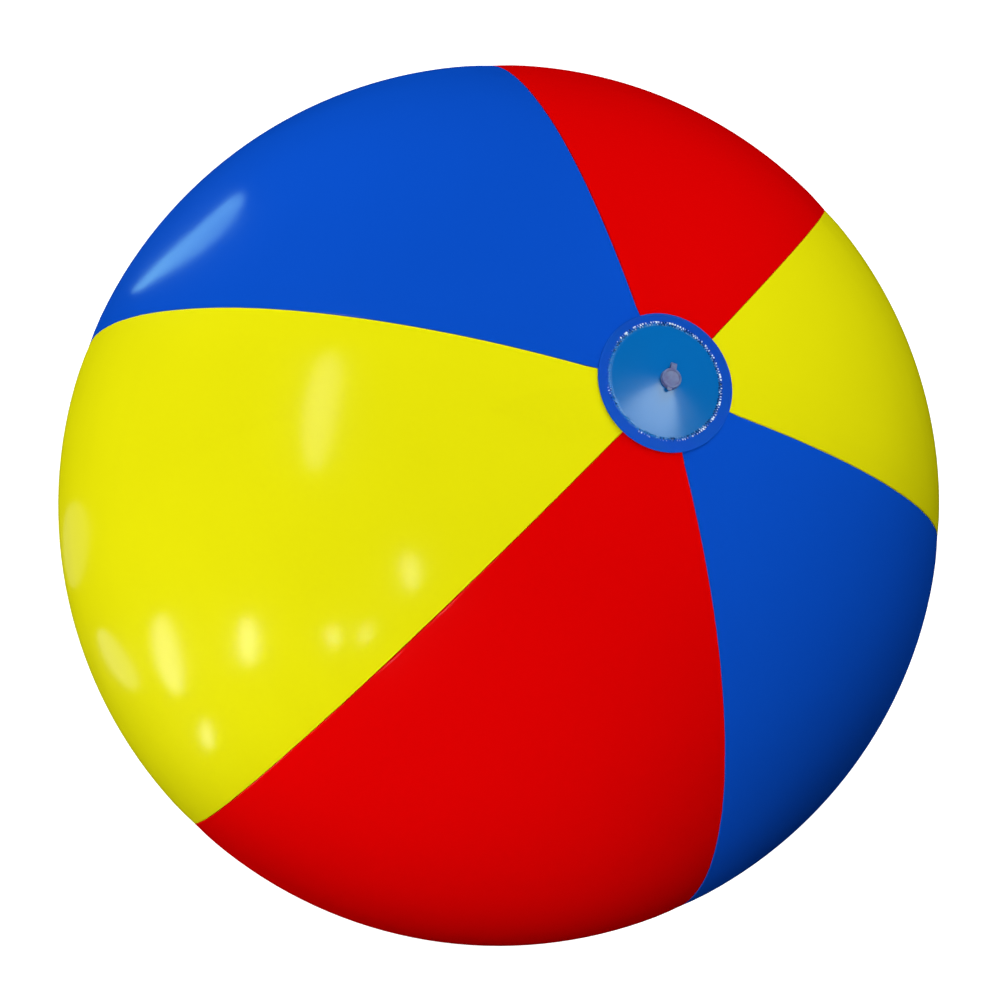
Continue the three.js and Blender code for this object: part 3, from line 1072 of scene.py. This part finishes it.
print("highlights:", len(STREAKS))

# %% [markdown]
# ## A bent card for the long highlight
# A straight lamp looks bowed in a ball, and a row of short ones shows its joints. So the long
# tapering highlight comes from one glowing strip that is bent the other way: each rung of the
# strip is mirrored from two places on the ball, and the rungs are joined by faces. The card
# isn't part of the ball, and only the gloss sees it.

# %% Glowing card
SKY = (0.4, 1, 1, 1)
CARD_RADIANCE = 1.9
CARD_REACH = 0.9
HALF_RUNG = 0.425               # half a rung's length, as a share of its width both ways
CARD_ROW = (                    # azimuth and latitude of a rung's middle, its width in degrees
    (177.3, 36.6, 0.5), (176.2, 38.4, 1.9), (174.6, 40.6, 2.9), (172.9, 42.7, 3.7),
    (170.7, 44.7, 4.3), (168, 46.1, 4.6), (165.2, 46.8, 4.2), (163.3, 47, 2.6), (162.6, 47, 0.6),
)
bm = bmesh.new()
rungs = []
for azimuth, latitude, width in CARD_ROW:
    rung = []
    for aside in (-HALF_RUNG * width, HALF_RUNG * width):
        place = mirrored(*on_ball(azimuth + aside, latitude + aside), CARD_REACH)
        rung.append(bm.verts.new(place))
    rungs.append(rung)
for (low, high), (next_low, next_high) in zip(rungs, rungs[1:]):
    bm.faces.new((low, high, next_high, next_low))
card = make_object(bm, "glowing_card")
material = bpy.data.materials.new("card glow")
material.use_nodes = True
tree = material.node_tree
tree.nodes.clear()
glow = tree.nodes.new("ShaderNodeEmission")
glow.inputs["Color"].default_value = SKY
glow.inputs["Strength"].default_value = CARD_RADIANCE
output = tree.nodes.new("ShaderNodeOutputMaterial")
tree.links.new(glow.outputs["Emission"], output.inputs["Surface"])
card.data.materials.append(material)
card.visible_camera = False
card.visible_diffuse = False
card.visible_shadow = False
card.visible_transmission = False
card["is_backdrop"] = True
print("card:", len(CARD_ROW), "rungs")

# %% [markdown]
# ## The wedge of light on the disc
# A cone mirrors a lamp as a wedge that fans out from its middle. Two long lamps make it, a
# bright one and a wide faint one for the haze beside it. Light linking keeps both on the disc
# and the valve, so that the panels don't show them too.

# %% Light for the disc
PALE_BLUE = (0.7, 0.9, 1)
WEDGE_RADIUS = 25 * MM          # how far out on the cone the lamps are aimed
WEDGE_REACH = 1.2
WEDGE_LAMPS = (("disc lamp", 220, 298, 5.0), ("disc haze", 198, 326, 0.9))
disc_only = bpy.data.collections.new("lit by the disc lamps")
for piece in (top_disc, plug, stem, strap):
    disc_only.objects.link(piece)
for name, start, end, radiance in WEDGE_LAMPS:
    wedge = streak(
        name, [on_cone(start, WEDGE_RADIUS), on_cone(end, WEDGE_RADIUS)],
        [on_ball(60, 86.5), on_ball(60, 91.5)], WEDGE_REACH, radiance, PALE_BLUE,
    )
    wedge.light_linking.receiver_collection = disc_only
print("disc lamps:", len(WEDGE_LAMPS))

# %% [markdown]
# ## Floor and surroundings
# The floor is plain pale paper that runs on to a white surround, so the ball's outline stands
# against an even white. It gives back nothing to the ball, and seen from below it is clear, so
# the underside can be looked at as well. The plain view transform keeps the vinyl's strong
# colours as they are; a filmic one would grey them.

# %% Floor and surroundings
FLOOR_SIZE = 40
bm = bmesh.new()
bmesh.ops.create_grid(bm, x_segments=1, y_segments=1, size=FLOOR_SIZE)
floor = make_object(bm, "studio_floor")
material, tree, shader = new_material("pale paper")
shader.inputs["Base Color"].default_value = (0.5, 0.5, 0.5, 1)
shader.inputs["Roughness"].default_value = 1
shader.inputs["Specular IOR Level"].default_value = 0
shader.inputs["Emission Color"].default_value = (1, 1, 1, 1)
shader.inputs["Emission Strength"].default_value = 1.0
from_below = tree.nodes.new("ShaderNodeNewGeometry")
clear = tree.nodes.new("ShaderNodeBsdfTransparent")
one_sided = tree.nodes.new("ShaderNodeMixShader")
tree.links.new(from_below.outputs["Backfacing"], one_sided.inputs["Fac"])
tree.links.new(shader.outputs["BSDF"], one_sided.inputs[1])
tree.links.new(clear.outputs["BSDF"], one_sided.inputs[2])
tree.links.new(one_sided.outputs["Shader"], tree.nodes["Material Output"].inputs["Surface"])
floor.data.materials.append(material)
floor.visible_glossy = False
floor.visible_diffuse = False
floor.visible_shadow = False
floor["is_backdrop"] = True

world = bpy.data.worlds.new("studio")
bpy.context.scene.world = world
world.use_nodes = True
background = world.node_tree.nodes["Background"]
background.inputs["Color"].default_value = (1, 1, 1, 1)
background.inputs["Strength"].default_value = 1.0
world.cycles_visibility.diffuse = False
world.cycles_visibility.glossy = False
world.cycles_visibility.transmission = False
bpy.context.scene.view_settings.view_transform = "Standard"
print("floor", 2 * FLOOR_SIZE, "m across")

# %% [markdown]
# ## Measuring what was made
# The looks mustn't outgrow the frame. The frame's box was taken straight after loading, and the
# same measure is taken again now, with every piece in place. Both are printed.

# %% Print the sizes
low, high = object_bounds()
print("CAD box", [round(v, 4) for v in (*cad_low, *cad_high)])
print("visual box", [round(v, 4) for v in (*low, *high)])
